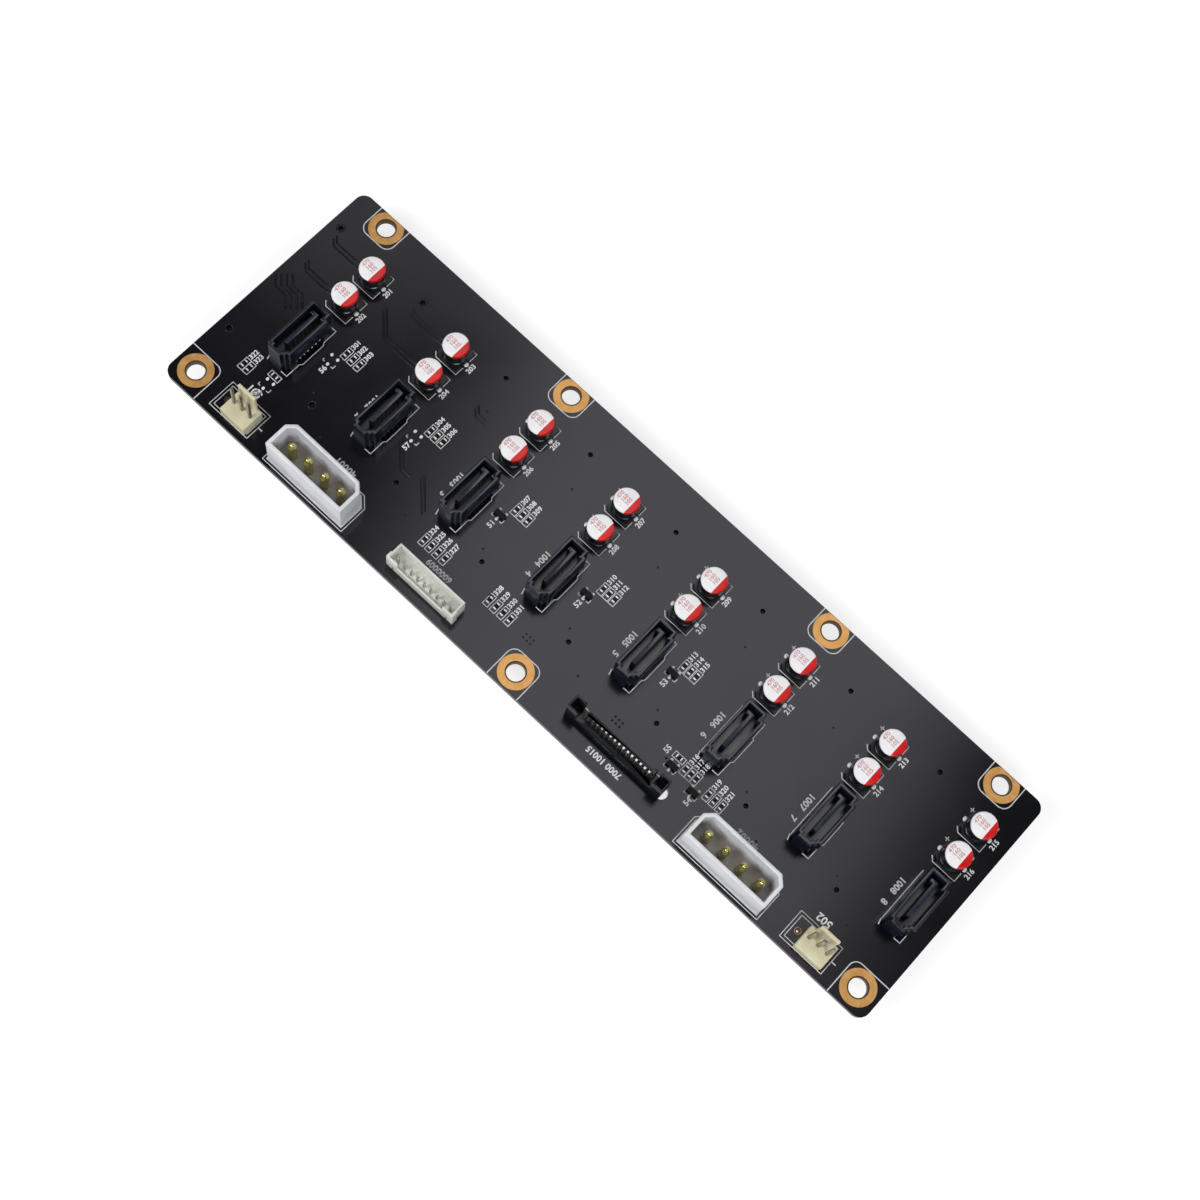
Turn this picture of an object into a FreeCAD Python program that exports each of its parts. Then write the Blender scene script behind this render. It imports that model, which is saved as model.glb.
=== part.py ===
"""Drive backplane board: a flat circuit board that joins eight disk drives to one host.

Frame: X runs along the board from drive 1 to drive 8, Y runs across it from the power headers
to the row of four mounting holes, and Z points up, out of the side that carries the headers.
The origin lies under the board's centre, on the plane of the drive connectors' mating faces.
All lengths are in millimetres.
"""
import FreeCAD, Part
import os
import re
import Sketcher

# Driving dimensions. Each becomes one named cell of the document's sheet.
SIZES = {
    # circuit board
    "board_length": 214.7,
    "board_width": 65.3,
    "board_thickness": 1.6,
    "board_corner": 2.6,
    # mounting holes: four along the upper edge, three along the lower edge
    "upper_hole_outer": 96.8,
    "upper_hole_left": -36.5,
    "upper_hole_right": 45.1,
    "upper_hole_row": 29.4,
    "lower_hole_outer": 102.0,
    "lower_hole_middle": -0.1,
    "lower_hole_row": -27.45,
    "lower_middle_row": -28.0,
    "hole_radius": 2.25,
    # one column of parts for each drive
    "column_first": -89.65,
    "column_pitch": 27.0,
    "column_count": 8,
    # data header: shroud with stepped corners, standing on the board
    "shroud_row": -5.95,
    "shroud_width": 6.1,
    "shroud_length": 15.5,
    "shroud_height": 8.7,
    "shroud_wall": 0.75,
    "shroud_step": 0.8,
    "head_notch": 1.8,
    "tail_notch": 0.85,
    "shroud_floor": 3.4,
    # data header: keyed tongue
    "tongue_face": 0.4,
    "tongue_thickness": 1.15,
    "tongue_head": 5.9,
    "tongue_tail": -4.2,
    "tongue_top": 8.0,
    "key_reach": 0.9,
    "key_thickness": 0.9,
    # contacts, shared by the data headers, drive connectors and power inlet
    "contact_pitch": 1.27,
    "contact_width": 0.5,
    "contact_thickness": 0.2,
    "contact_clearance": 0.05,
    "slit_overrun": 0.3,
    "signal_count": 7,
    "power_count": 15,
    "signal_contact_row": 0.1,
    "signal_contact_top": 7.4,
    "tail_wall": 1.3,
    "tail_room": 2.8,
    "tail_reach": 2.9,
    # drive connector on the hidden side, in its own frame from the mating face up
    "connector_offset": -14.7,
    "connector_row": 3.6,
    "connector_height": 8.5,
    "connector_width": 5.6,
    "connector_length": 42.4,
    "connector_standoff": 0.25,
    "standoff_length": 2.6,
    "slot_width": 1.5,
    "slot_depth": 6.0,
    "slot_key_reach": 1.1,
    "slot_key_width": 1.3,
    "signal_slot_start": -16.9,
    "signal_slot_end": -6.3,
    "power_slot_start": -3.9,
    "power_slot_end": 16.9,
    "guide_width": 2.6,
    "guide_start": 18.3,
    "drive_contact_foot": 1.5,
    "drive_foot_reach": 3.7,
    "peg_spacing": 36.5,
    "peg_radius": 0.5,
    "peg_length": 0.8,
    "peg_clearance": 0.1,
    # four-pin power headers
    "power_header_place": 63.5,
    "power_header_row": -26.8,
    "power_header_length": 23.3,
    "power_header_front": 4.2,
    "power_header_back": 4.05,
    "power_header_height": 10.0,
    "power_header_wall": 0.95,
    "power_header_chamfer": 2.0,
    "power_header_floor": 1.5,
    "power_pin_pitch": 5.08,
    "power_pin_radius": 1.05,
    "power_pin_top": 8.5,
    "power_pin_taper": 1.3,
    "power_pin_point": 0.4,
    "power_tail_radius": 0.65,
    "pin_clearance": 0.02,
    "drill_clearance": 0.1,
    "tail_below": 1.8,
    # fan headers, with a bare fourth hole beside the three pins
    "fan_place_1": -86.68,
    "fan_place_2": 89.32,
    "fan_row": -27.4,
    "fan_pitch": 2.54,
    "fan_count": 3,
    "fan_length": 7.6,
    "fan_front": 3.4,
    "fan_back": 2.5,
    "fan_base": 3.2,
    "fan_wall_width": 5.2,
    "fan_wall_thickness": 0.75,
    "fan_wall_top": 10.0,
    "fan_pin_width": 0.64,
    "fan_pin_top": 11.0,
    "fan_drill_radius": 0.5,
    # indicator header
    "led_place": -28.2,
    "led_row": -28.4,
    "led_pitch": 2.0,
    "led_count": 9,
    "led_length": 19.9,
    "led_front": 1.7,
    "led_back": 2.8,
    "led_top": 6.0,
    "led_wall": 0.45,
    "led_floor": 1.8,
    "led_post_length": 3.0,
    "led_sill": 3.1,
    "led_rib_reach": 0.3,
    "led_rib_width": 1.6,
    "led_slot_offset": 8.35,
    "led_slot_width": 0.4,
    "led_slot_depth": 0.3,
    "led_pin_width": 0.5,
    "led_pin_top": 5.0,
    "led_drill_radius": 0.4,
    # fifteen-contact power inlet
    "inlet_place": 28.3,
    "inlet_row": -25.5,
    "inlet_length": 28.1,
    "inlet_front": 2.0,
    "inlet_back": 1.4,
    "inlet_base": 3.3,
    "inlet_top": 8.7,
    "inlet_post_length": 2.9,
    "inlet_post_wall": 0.45,
    "inlet_channel_floor": 1.5,
    "inlet_tongue_start": -9.35,
    "inlet_tongue_end": 10.3,
    "inlet_tongue_front": -0.6,
    "inlet_tongue_back": 0.63,
    "inlet_tongue_top": 8.0,
    "inlet_key_reach": 0.7,
    "inlet_groove_width": 0.8,
    "inlet_groove_depth": 0.7,
    "inlet_contact_inset": 0.1,
    "inlet_contact_tip": 0.5,
    "inlet_contact_top": 7.8,
    "inlet_tail_reach": 2.4,
    "inlet_hole_offset": 13.55,
    "inlet_hole_radius": 1.65,
    # electrolytic capacitors, two for each drive
    "can_offset": -0.15,
    "can_first_row": 8.7,
    "can_row_pitch": 9.0,
    "can_rows": 2,
    "can_radius": 3.15,
    "can_bottom": 0.9,
    "can_top": 5.9,
    "can_shoulder": 0.35,
    "base_width": 6.6,
    "base_chamfer": 1.1,
    "lead_thickness": 0.15,
    "lead_width": 0.8,
    "lead_inner": 1.2,
    "lead_outer": 4.0,
    # chip resistors: a body between two metal end caps
    "chip_core_length": 1.0,
    "chip_cap_length": 0.3,
    "chip_width": 0.8,
    "chip_core_height": 0.42,
    "chip_cap_height": 0.48,
    # transistors: a moulded body on three flat leads
    "transistor_length": 2.9,
    "transistor_width": 1.3,
    "transistor_top": 1.05,
    "transistor_lead_spread": 0.95,
    "transistor_lead_width": 0.42,
    "transistor_lead_inner": 0.4,
    "transistor_lead_outer": 1.25,
    "transistor_lead_thickness": 0.1,
}

DECK = "connector_height + board_thickness"
SOLID_MARGIN = 1e-6

doc = FreeCAD.newDocument("drive_backplane_board")
sheet = doc.addObject("Spreadsheet::Sheet", "sizes")
for row, (alias, value) in enumerate(SIZES.items(), 1):
    sheet.set(f"A{row}", alias)
    sheet.set(f"B{row}", str(value))
    sheet.setAlias(f"B{row}", alias)
doc.recompute()

sub_parts = []


# ---------------------------------------------------------------- helpers

def in_cells(formula):
    """Point every size name in a formula at its cell of the sheet."""
    return re.sub(r"[a-z][a-z_0-9]*", lambda word: f"sizes.{word[0]}" if word[0] in SIZES else word[0], formula)


def bind(target, property_name, formula):
    target.setExpression(property_name, in_cells(formula))


def start_body(name, x="0", y="0", z=DECK):
    """Open a sub-part whose own origin stands at the given place on the board."""
    body = doc.addObject("PartDesign::Body", name)
    body.Label = name
    body.AllowCompound = True
    bind(body, "Placement.Base.x", x)
    bind(body, "Placement.Base.y", y)
    bind(body, "Placement.Base.z", z)
    sub_parts.append(body)
    return body


def origin_feature(body, role):
    return next(item for item in body.Origin.OriginFeatures if item.Role == role)


def start_sketch(body, name, height="0", plane="XY_Plane"):
    """Open a sketch on one of the body's own planes, raised by the height along its normal."""
    sketch = body.newObject("Sketcher::SketchObject", f"{body.Name}_{name}")
    sketch.AttachmentSupport = (origin_feature(body, plane), [""])
    sketch.MapMode = "FlatFace"
    bind(sketch, "AttachmentOffset.Base.z", height)
    return sketch


def fix_point(sketch, geometry, point, x, y):
    """Tie one point of a sketch to its distances from the sketch's origin."""
    for kind, formula in (("DistanceX", x), ("DistanceY", y)):
        number = sketch.addConstraint(Sketcher.Constraint(kind, -1, 1, geometry, point, 1.0))
        bind(sketch, f"Constraints[{number}]", formula)


def add_outline(sketch, corners):
    """Add a closed outline of straight sides through corners given as formulas."""
    first = sketch.GeometryCount
    count = len(corners)
    spoke = FreeCAD.Vector(1, 0, 0)
    turn = FreeCAD.Rotation(FreeCAD.Vector(0, 0, 1), 360 / count)
    for _ in corners:
        following = turn.multVec(spoke)
        sketch.addGeometry(Part.LineSegment(spoke, following))
        spoke = following
    for side in range(count):
        following_side = first + (side + 1) % count
        sketch.addConstraint(Sketcher.Constraint("Coincident", first + side, 2, following_side, 1))
    for side, (x, y) in enumerate(corners):
        fix_point(sketch, first + side, 1, x, y)


def add_circle(sketch, x, y, radius):
    circle = Part.Circle(FreeCAD.Vector(0, 0, 0), FreeCAD.Vector(0, 0, 1), 1.0)
    geometry = sketch.addGeometry(circle)
    number = sketch.addConstraint(Sketcher.Constraint("Radius", geometry, 1.0))
    bind(sketch, f"Constraints[{number}]", radius)
    fix_point(sketch, geometry, 3, x, y)


def rectangle(x, y, length, width):
    """Corners of a rectangle from its centre, its length along X and its width along Y."""
    left = f"({x}) - ({length}) / 2"
    right = f"({x}) + ({length}) / 2"
    front = f"({y}) - ({width}) / 2"
    back = f"({y}) + ({width}) / 2"
    return [(left, front), (right, front), (right, back), (left, back)]


def span(left, right, front, back):
    """Corners of a rectangle from the places of its four sides."""
    return [(left, front), (right, front), (right, back), (left, back)]


def octagon(x, y, radius):
    """Corners of a small round hole or stud, drawn with eight sides that touch its circle."""
    flat = f"({radius})"
    corner = f"({radius}) * tan(22.5 deg)"
    turns = [(flat, corner), (corner, flat)]
    quarters = [("", ""), ("-", ""), ("-", "-"), ("", "-")]
    corners = []
    for number, (side_x, side_y) in enumerate(quarters):
        for across, along in turns[:: 1 - 2 * (number % 2)]:
            corners.append((f"({x}) + {side_x}1 * {across}", f"({y}) + {side_y}1 * {along}"))
    return corners


def extrude(body, sketch, length, both_ways=False):
    pad = body.newObject("PartDesign::Pad", f"{sketch.Name}_pad")
    pad.Profile = sketch
    pad.Midplane = both_ways
    bind(pad, "Length", length)
    doc.recompute()
    return pad


def raise_block(body, name, corners, bottom, top):
    """Add a block between two heights on one outline."""
    sketch = start_sketch(body, name, bottom)
    add_outline(sketch, corners)
    return extrude(body, sketch, f"({top}) - ({bottom})")


def sink(body, sketch, depth):
    """Cut a sketch downwards from its own plane, and make sure that it removed something."""
    before = body.Shape.Volume
    pocket = body.newObject("PartDesign::Pocket", f"{sketch.Name}_cut")
    pocket.Profile = sketch
    pocket.Reversed = False
    bind(pocket, "Length", depth)
    doc.recompute()
    if body.Shape.Volume > before - SOLID_MARGIN:
        raise ValueError(f"{pocket.Name} cuts nothing")
    return pocket


def cut_block(body, name, corners, bottom, top):
    """Cut a block between two heights on one outline."""
    sketch = start_sketch(body, name, top)
    add_outline(sketch, corners)
    return sink(body, sketch, f"({top}) - ({bottom})")


def cut_holes(body, name, places, radius, bottom, top):
    """Cut round holes of one radius between two heights."""
    sketch = start_sketch(body, name, top)
    for x, y in places:
        add_circle(sketch, x, y, radius)
    return sink(body, sketch, f"({top}) - ({bottom})")


def spin(body, name, profile, row="0"):
    """Turn a profile, given as radius and height, about an upright axis at a place along Y."""
    sketch = start_sketch(body, name, f"-({row})", plane="XZ_Plane")
    add_outline(sketch, profile)
    turned = body.newObject("PartDesign::Revolution", f"{sketch.Name}_turned")
    turned.Profile = sketch
    turned.ReferenceAxis = (sketch, ["V_Axis"])
    turned.Angle = 360
    doc.recompute()
    return turned


def repeat(body, features, axis, count, pitch):
    """Repeat features together along one of the body's axes."""
    pattern = body.newObject("PartDesign::LinearPattern", f"{features[0].Name}_row")
    pattern.Originals = features
    pattern.Direction = (origin_feature(body, axis), [""])
    pattern.Mode = "Spacing"
    bind(pattern, "Occurrences", count)
    bind(pattern, "Offset", pitch)
    body.Tip = pattern
    doc.recompute()


def contact_strip(body, name, corners, middle):
    """Add one flat-strip contact, bent in the XZ plane and centred on a place along Y."""
    sketch = start_sketch(body, name, f"-({middle})", plane="XZ_Plane")
    add_outline(sketch, corners)
    return extrude(body, sketch, "contact_width", both_ways=True)


def column_x(index, offset="0"):
    return f"column_first + {index} * column_pitch + ({offset})"


def row_start(count, pitch):
    """Place of the first of a centred row, seen from the row's middle."""
    return f"-({count} - 1) / 2 * {pitch}"


COLUMNS = range(int(SIZES["column_count"]))

MOUNTING_HOLES = [
    ("-upper_hole_outer", "upper_hole_row"),
    ("upper_hole_left", "upper_hole_row"),
    ("upper_hole_right", "upper_hole_row"),
    ("upper_hole_outer", "upper_hole_row"),
    ("-lower_hole_outer", "lower_hole_row"),
    ("lower_hole_middle", "lower_middle_row"),
    ("lower_hole_outer", "lower_hole_row"),
]


# ---------------------------------------------------------------- circuit board

def circuit_board():
    """The bare laminate with rounded corners and every drilled hole."""
    body = start_body("circuit_board", z="connector_height")
    raise_block(body, "panel", rectangle("0", "0", "board_length", "board_width"), "0", "board_thickness")
    panel = body.Tip
    uprights = [
        f"Edge{number}"
        for number, edge in enumerate(panel.Shape.Edges, 1)
        if abs(edge.tangentAt(edge.FirstParameter).z) > 0.5
    ]
    corners = body.newObject("PartDesign::Fillet", "circuit_board_corners")
    corners.Base = (panel, uprights)
    bind(corners, "Radius", "board_corner")
    doc.recompute()
    cut_holes(body, "mounting", MOUNTING_HOLES, "hole_radius", "0", "board_thickness")
    locator = [("inlet_place + inlet_hole_offset", "inlet_row")]
    cut_holes(body, "locator", locator, "inlet_hole_radius", "0", "board_thickness")
    pegs = [
        (column_x(0, "connector_offset"), f"connector_row + ({side}) * peg_spacing / 2")
        for side in (-1, 1)
    ]
    drill_row(body, "peg", pegs, "peg_radius + peg_clearance", "column_count", "column_pitch")
    power_drill = "power_tail_radius + drill_clearance"
    for number, side in ((1, -1), (2, 1)):
        start = f"({side}) * power_header_place - 1.5 * power_pin_pitch"
        first = [(start, "power_header_row")]
        drill_row(body, f"power_{number}", first, power_drill, "4", "power_pin_pitch")
        start = f"fan_place_{number} - fan_pitch * (fan_count + 1) / 2"
        first = [(start, "fan_row")]
        drill_row(body, f"fan_{number}", first, "fan_drill_radius", "fan_count + 1", "fan_pitch")
    first = [(f"led_place + {row_start('led_count', 'led_pitch')}", "led_row")]
    drill_row(body, "led", first, "led_drill_radius", "led_count", "led_pitch")


def drill_row(body, name, places, radius, count, pitch):
    """Cut small holes for pins through the board and repeat them along X."""
    sketch = start_sketch(body, f"{name}_holes", "board_thickness")
    for x, y in places:
        add_outline(sketch, octagon(x, y, radius))
    holes = sink(body, sketch, "board_thickness")
    repeat(body, [holes], "X_Axis", count, pitch)


# ---------------------------------------------------------------- data headers

def shroud_corners(inset):
    """Stepped outline of the data header, moved inwards by the inset."""
    right = f"shroud_width / 2 - ({inset})"
    left = f"-shroud_width / 2 + ({inset})"
    head = f"shroud_length / 2 - ({inset})"
    tail = f"-shroud_length / 2 + ({inset})"
    return [
        (left, head),
        (f"{right} - shroud_step", head),
        (f"{right} - shroud_step", f"{head} - head_notch"),
        (right, f"{head} - head_notch"),
        (right, f"{tail} + 2 * tail_notch"),
        (f"{right} - shroud_step", f"{tail} + 2 * tail_notch"),
        (f"{right} - shroud_step", f"{tail} + tail_notch"),
        (f"{right} - 2 * shroud_step", f"{tail} + tail_notch"),
        (f"{right} - 2 * shroud_step", tail),
        (f"{left} + shroud_step", tail),
        (f"{left} + shroud_step", f"{tail} + tail_notch"),
        (left, f"{tail} + tail_notch"),
    ]


def data_header(index):
    """Shroud, keyed tongue, and the way out for the contacts under the floor."""
    body = start_body(f"data_header_{index + 1}", column_x(index), "shroud_row")
    raise_block(body, "shroud", shroud_corners("0"), "0", "shroud_height")
    cut_block(body, "cavity", shroud_corners("shroud_wall"), "shroud_floor", "shroud_height")
    back = "tongue_face - tongue_thickness"
    tongue = [
        ("tongue_face", "tongue_head"),
        (f"{back} - key_reach", "tongue_head"),
        (f"{back} - key_reach", "tongue_head - key_thickness"),
        (back, "tongue_head - key_thickness"),
        (back, "tongue_tail"),
        ("tongue_face", "tongue_tail"),
    ]
    raise_block(body, "tongue", tongue, "shroud_floor", "tongue_top")
    groove_back = "tongue_face - contact_thickness - contact_clearance"
    first = f"signal_contact_row + {row_start('signal_count', 'contact_pitch')}"
    half_groove = "(contact_width / 2 + contact_clearance)"
    groove_outline = span(
        groove_back,
        "tongue_face + contact_clearance",
        f"{first} - {half_groove}",
        f"{first} + {half_groove}",
    )
    groove = cut_block(body, "groove", groove_outline, "0", "signal_contact_top + contact_clearance")
    repeat(body, [groove], "Y_Axis", "signal_count", "contact_pitch")
    half_row = "(signal_count - 1) / 2 * contact_pitch + contact_width / 2 + slit_overrun"
    front = f"signal_contact_row - ({half_row})"
    rear = f"signal_contact_row + ({half_row})"
    cut_block(body, "tail_bay", span("tail_wall", "shroud_width", front, rear), "0", "tail_room")
    channel_top = "contact_thickness + contact_clearance"
    cut_block(body, "channel", span(groove_back, "tail_wall", front, rear), "0", channel_top)


def data_header_contacts(index):
    """Seven contacts, flush in the tongue's grooves and bent under the floor to soldered feet."""
    body = start_body(f"data_header_contacts_{index + 1}", column_x(index), "shroud_row")
    corners = [
        ("tongue_face - contact_thickness", "0"),
        ("tail_reach", "0"),
        ("tail_reach", "contact_thickness"),
        ("tongue_face", "contact_thickness"),
        ("tongue_face", "signal_contact_top"),
        ("tongue_face - contact_thickness", "signal_contact_top"),
    ]
    first = f"signal_contact_row + {row_start('signal_count', 'contact_pitch')}"
    strip = contact_strip(body, "strip", corners, first)
    repeat(body, [strip], "Y_Axis", "signal_count", "contact_pitch")


# ---------------------------------------------------------------- drive connectors

def drive_slot(start, end):
    """L-shaped slot for one tongue of the drive, with its key at the far end."""
    return [
        ("slot_width / 2", start),
        ("slot_width / 2", end),
        ("-slot_width / 2 - slot_key_reach", end),
        ("-slot_width / 2 - slot_key_reach", f"{end} - slot_key_width"),
        ("-slot_width / 2", f"{end} - slot_key_width"),
        ("-slot_width / 2", start),
    ]


DRIVE_SEGMENTS = [
    ("signal", "signal_count", "signal_slot_start", "signal_slot_end"),
    ("power", "power_count", "power_slot_start", "power_slot_end"),
]


def drive_connector(index):
    """Receptacle on the hidden side that takes one drive, with its mating face downwards."""
    place = column_x(index, "connector_offset")
    body = start_body(f"drive_connector_{index + 1}", place, "connector_row", "0")
    roof = "connector_height - connector_standoff"
    block = rectangle("0", "0", "connector_width", "connector_length")
    raise_block(body, "block", block, "0", roof)
    half = "connector_length / 2"
    for name, front, rear in (
        ("front_standoff", f"-{half}", f"-{half} + standoff_length"),
        ("rear_standoff", f"{half} - standoff_length", half),
    ):
        pad = span("-connector_width / 2", "connector_width / 2", front, rear)
        raise_block(body, name, pad, roof, "connector_height")
    pegs = start_sketch(body, "pegs", "connector_height")
    for side in (-1, 1):
        add_outline(pegs, octagon("0", f"({side}) * peg_spacing / 2", "peg_radius"))
    extrude(body, pegs, "peg_length")
    for name, count, start, end in DRIVE_SEGMENTS:
        cut_block(body, f"{name}_slot", drive_slot(start, end), "0", "slot_depth")
        half_row = f"(({count} - 1) / 2 * contact_pitch + contact_width / 2 + slit_overrun)"
        middle = f"({start} + {end}) / 2"
        slit = span(
            "slot_width / 2 - contact_thickness - contact_clearance",
            "slot_width / 2",
            f"{middle} - {half_row}",
            f"{middle} + {half_row}",
        )
        cut_block(body, f"{name}_slit", slit, "slot_depth", roof)
    for name, front, rear in (
        ("front_guide", f"-{half} - 1", "-guide_start"),
        ("rear_guide", "guide_start", f"{half} + 1"),
    ):
        guide = span("-guide_width / 2", "guide_width / 2", front, rear)
        cut_block(body, name, guide, "0", "slot_depth")


def drive_connector_contacts(index):
    """Contacts along one wall of both slots, bent outwards to feet under the board."""
    place = column_x(index, "connector_offset")
    body = start_body(f"drive_connector_contacts_{index + 1}", place, "connector_row", "0")
    inner = "slot_width / 2 - contact_thickness"
    corners = [
        (inner, "drive_contact_foot"),
        ("slot_width / 2", "drive_contact_foot"),
        ("slot_width / 2", "connector_height - contact_thickness"),
        ("drive_foot_reach", "connector_height - contact_thickness"),
        ("drive_foot_reach", "connector_height"),
        (inner, "connector_height"),
    ]
    for name, count, start, end in DRIVE_SEGMENTS:
        first = f"({start} + {end}) / 2 + {row_start(count, 'contact_pitch')}"
        strip = contact_strip(body, name, corners, first)
        repeat(body, [strip], "Y_Axis", count, "contact_pitch")


# ---------------------------------------------------------------- power headers

def power_header_corners(inset):
    """Outline of the power header, with the two corners towards the board's middle cut off."""
    side = f"(power_header_length / 2 - {inset})"
    front = f"-power_header_front + {inset}"
    back = f"power_header_back - {inset}"
    chamfer = f"(power_header_chamfer - {inset} * (2 - sqrt(2)))"
    return [
        (f"-{side}", front),
        (side, front),
        (side, f"{back} - {chamfer}"),
        (f"{side} - {chamfer}", back),
        (f"-{side} + {chamfer}", back),
        (f"-{side}", f"{back} - {chamfer}"),
    ]


def power_header(number, side):
    place = f"({side}) * power_header_place"
    body = start_body(f"power_header_{number}", place, "power_header_row")
    raise_block(body, "shell", power_header_corners("0"), "0", "power_header_height")
    cavity = power_header_corners("power_header_wall")
    cut_block(body, "cavity", cavity, "power_header_floor", "power_header_height")
    first = octagon("-1.5 * power_pin_pitch", "0", "power_pin_radius + pin_clearance")
    hole = cut_block(body, "pin_hole", first, "0", "power_header_floor")
    repeat(body, [hole], "X_Axis", "4", "power_pin_pitch")


def power_header_pins(number, side):
    """Four turned pins with tapered points, and thinner tails through the board."""
    place = f"({side}) * power_header_place - 1.5 * power_pin_pitch"
    body = start_body(f"power_header_pins_{number}", place, "power_header_row")
    profile = [
        ("0", "0"),
        ("power_pin_radius", "0"),
        ("power_pin_radius", "power_pin_top - power_pin_taper"),
        ("power_pin_point", "power_pin_top"),
        ("0", "power_pin_top"),
    ]
    pin = spin(body, "pin", profile)
    tail_outline = octagon("0", "0", "power_tail_radius")
    tail = raise_block(body, "tail", tail_outline, "-board_thickness - tail_below", "0")
    repeat(body, [pin, tail], "X_Axis", "4", "power_pin_pitch")


# ---------------------------------------------------------------- fan headers

def fan_header(number, place):
    """Open base with an upright friction wall behind the pins."""
    body = start_body(f"fan_header_{number}", place, "fan_row")
    base = span("-fan_length / 2", "fan_length / 2", "-fan_front", "fan_back")
    raise_block(body, "base", base, "0", "fan_base")
    wall = span("-fan_wall_width / 2", "fan_wall_width / 2", "fan_back - fan_wall_thickness", "fan_back")
    raise_block(body, "wall", wall, "fan_base", "fan_wall_top")
    room = "fan_pin_width + 2 * pin_clearance"
    first = rectangle(row_start("fan_count", "fan_pitch"), "0", room, room)
    hole = cut_block(body, "pin_hole", first, "0", "fan_base")
    repeat(body, [hole], "X_Axis", "fan_count", "fan_pitch")


def square_pins(name, place, row, count, pitch, width, top):
    """A row of straight square pins that reach through the board."""
    body = start_body(name, f"{place} + {row_start(count, pitch)}", row)
    bottom = "-board_thickness - tail_below"
    pin = raise_block(body, "pin", rectangle("0", "0", width, width), bottom, top)
    repeat(body, [pin], "X_Axis", count, pitch)


def fan_header_pins(number, place):
    name = f"fan_header_pins_{number}"
    square_pins(name, place, "fan_row", "fan_count", "fan_pitch", "fan_pin_width", "fan_pin_top")


# ---------------------------------------------------------------- indicator header

def led_header():
    """Open-topped shroud with a low middle to its front wall and a thicker front half at each end."""
    body = start_body("led_header", "led_place", "led_row")
    half = "led_length / 2"
    shell = span(f"-{half}", half, "-led_front", "led_back")
    raise_block(body, "shell", shell, "0", "led_top")
    inside = span(f"-{half} + led_wall", f"{half} - led_wall", "-led_front + led_wall", "led_back - led_wall")
    cut_block(body, "cavity", inside, "led_floor", "led_top")
    window = span(
        f"-{half} + led_post_length",
        f"{half} - led_post_length",
        "-led_front - 1",
        "-led_front + led_wall",
    )
    cut_block(body, "window", window, "led_sill", "led_top")
    ribs = (("left_rib", f"-{half} - led_rib_reach", f"-{half}"), ("right_rib", half, f"{half} + led_rib_reach"))
    for name, left, right in ribs:
        rib = span(left, right, "-led_front", "-led_front + led_rib_width")
        raise_block(body, name, rib, "0", "led_top")
    for name, place in (("left_slot", "-led_slot_offset"), ("right_slot", "led_slot_offset")):
        slot = rectangle(place, "-led_front", "led_slot_width", "2 * led_slot_depth")
        cut_block(body, name, slot, "0", "led_floor")
    room = "led_pin_width + 2 * pin_clearance"
    first = rectangle(row_start("led_count", "led_pitch"), "0", room, room)
    hole = cut_block(body, "pin_hole", first, "0", "led_floor")
    repeat(body, [hole], "X_Axis", "led_count", "led_pitch")


def led_header_pins():
    name = "led_header_pins"
    square_pins(name, "led_place", "led_row", "led_count", "led_pitch", "led_pin_width", "led_pin_top")


# ---------------------------------------------------------------- power inlet

def power_inlet():
    """Stepped base with a grooved, keyed tongue between two posts that are open towards it."""
    body = start_body("power_inlet", "inlet_place", "inlet_row")
    half = "inlet_length / 2"
    base = span(f"-{half}", half, "-inlet_front", "inlet_back")
    raise_block(body, "base", base, "0", "inlet_base")
    inner = f"({half} - inlet_post_length)"
    outer_wall = f"({half} - inlet_post_wall)"
    front_wall = "-inlet_front + inlet_post_wall"
    back_wall = "inlet_back - inlet_post_wall"
    for name, sign in (("left_post", "-"), ("right_post", "")):
        post = span(f"{sign}{inner}", f"{sign}{half}", "-inlet_front", "inlet_back")
        raise_block(body, name, post, "inlet_base", "inlet_top")
        channel = span(f"{sign}{inner}", f"{sign}{outer_wall}", front_wall, back_wall)
        cut_block(body, f"{name}_channel", channel, "inlet_channel_floor", "inlet_top")
    key_back = "inlet_tongue_back + inlet_key_reach"
    tongue = [
        ("inlet_tongue_start", "inlet_tongue_front"),
        ("inlet_tongue_end", "inlet_tongue_front"),
        ("inlet_tongue_end", key_back),
        ("inlet_tongue_end - key_thickness", key_back),
        ("inlet_tongue_end - key_thickness", "inlet_tongue_back"),
        ("inlet_tongue_start", "inlet_tongue_back"),
    ]
    raise_block(body, "tongue", tongue, "inlet_base", "inlet_tongue_top")
    first = row_start("power_count", "contact_pitch")
    middle = "inlet_tongue_front + inlet_groove_depth / 2"
    outline = rectangle(first, middle, "inlet_groove_width", "inlet_groove_depth")
    groove = cut_block(body, "groove", outline, "0", "inlet_tongue_top")
    repeat(body, [groove], "X_Axis", "power_count", "contact_pitch")
    half_row = "((power_count - 1) / 2 * contact_pitch + contact_width / 2 + slit_overrun)"
    under = span(f"-{half_row}", half_row, "inlet_tongue_front", "inlet_back")
    cut_block(body, "tail_channel", under, "0", "contact_thickness + contact_clearance")


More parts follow.
